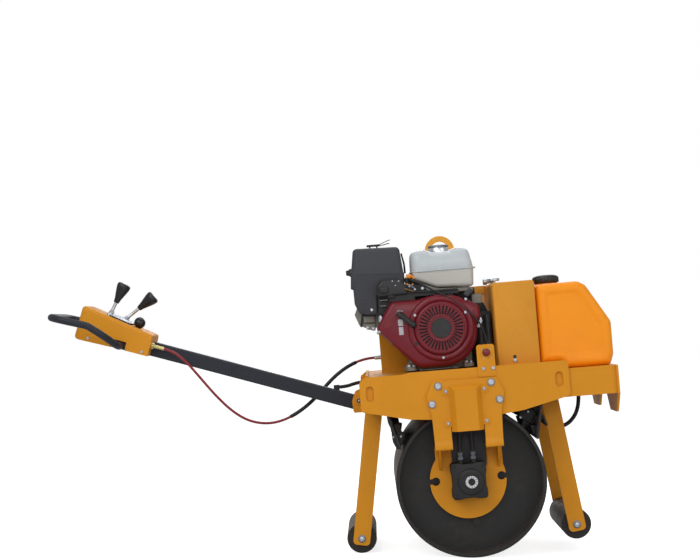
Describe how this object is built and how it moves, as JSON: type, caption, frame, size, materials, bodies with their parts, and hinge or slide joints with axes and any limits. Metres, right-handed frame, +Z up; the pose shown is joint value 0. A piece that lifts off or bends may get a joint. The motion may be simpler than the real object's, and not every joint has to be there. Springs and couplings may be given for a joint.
{
  "type": "pedestrian single-drum vibratory roller",
  "caption": "Walk-behind vibratory roller: steel drum in a yellow frame, petrol engine, water tank, support rollers and a hinged handle with its controls.",
  "frame": {"origin": "on the floor, under the middle of the machine's box", "axes": "+X forward to the water tank, +Y to the machine's left, +Z up"},
  "size_m": [1.9326, 0.872, 1.0833],
  "materials": {
    "chassis_paint": "satin",
    "handle_paint": "satin",
    "dark_steel": "matte",
    "zinc": "satin",
    "tank_plastic": "satin",
    "black_plastic": "matte",
    "engine_casting": "matte",
    "shroud_red": "gloss",
    "fuel_tank_grey": "gloss",
    "rubber": "matte",
    "button_red": "gloss",
    "cable_red": "satin"
  },
  "bodies": {
    "chassis": {"side_plate_right": "chassis_paint", "side_plate_left": "chassis_paint", "deck": "chassis_paint", "frame_cheeks": "chassis_paint", "rear_crossmember": "chassis_paint", "front_plate": "chassis_paint", "handle_bracket": "chassis_paint", "stand_legs": "chassis_paint", "drum_forks": "chassis_paint", "hose_guards": "chassis_paint", "lifting_post": "chassis_paint", "lifting_beam": "chassis_paint", "lifting_eye": "chassis_paint", "stop_switch_bracket": "chassis_paint", "hydraulic_tank": "chassis_paint", "motor_mounts": "chassis_paint", "scrapers": "dark_steel", "muffler": "dark_steel", "carburettor": "dark_steel", "hydraulic_pump": "dark_steel", "manifold": "dark_steel", "drive_motor": "dark_steel", "vibration_motor": "dark_steel", "cable_fitting": "dark_steel", "pivot_pin": "zinc", "roller_axles": "zinc", "drum_axles": "zinc", "tank_breather": "zinc", "spray_bar": "zinc", "water_tank": "tank_plastic", "water_cap": "black_plastic", "air_cleaner": "black_plastic", "spray_valve": "black_plastic", "fuel_cap": "black_plastic", "engine_block": "engine_casting", "cylinder_head": "engine_casting", "fan_shroud": "shroud_red", "recoil_cover": "shroud_red", "fuel_tank": "fuel_tank_grey", "engine_mounts": "rubber", "beam_conduit": "rubber", "water_hose": "rubber", "motor_hoses": "rubber", "pump_hoses": "rubber", "throttle_cable": "rubber", "stop_button": "button_red", "control_cable": "cable_red"},
    "drum": {"drum": "dark_steel"},
    "rear_roller": {"rear_roller": "dark_steel"},
    "front_roller": {"front_roller": "dark_steel"},
    "handle": {"handle_beam": "handle_paint", "control_box": "chassis_paint", "handle_loop": "handle_paint", "control_levers": "zinc", "lever_grips": "rubber", "throttle_knob": "black_plastic", "cable_ferrule": "zinc"}
  },
  "joints": [
    {"name": "drum_spin", "type": "hinge", "parent": "chassis", "child": "drum", "pos_m": [0.4754, 0, 0.25], "axis": [0, 1, 0], "continuous": true},
    {"name": "rear_roller_spin", "type": "hinge", "parent": "chassis", "child": "rear_roller", "pos_m": [0.11229, 0, 0.05], "axis": [0, 1, 0], "continuous": true},
    {"name": "front_roller_spin", "type": "hinge", "parent": "chassis", "child": "front_roller", "pos_m": [0.83467, 0, 0.09916], "axis": [0, 1, 0], "continuous": true},
    {"name": "handle_hinge", "type": "hinge", "parent": "chassis", "child": "handle", "pos_m": [0.10061, 0, 0.50634], "axis": [0, 1, 0], "range_deg": [0, 70], "deforming": ["control_cable", "beam_conduit"]}
  ]
}
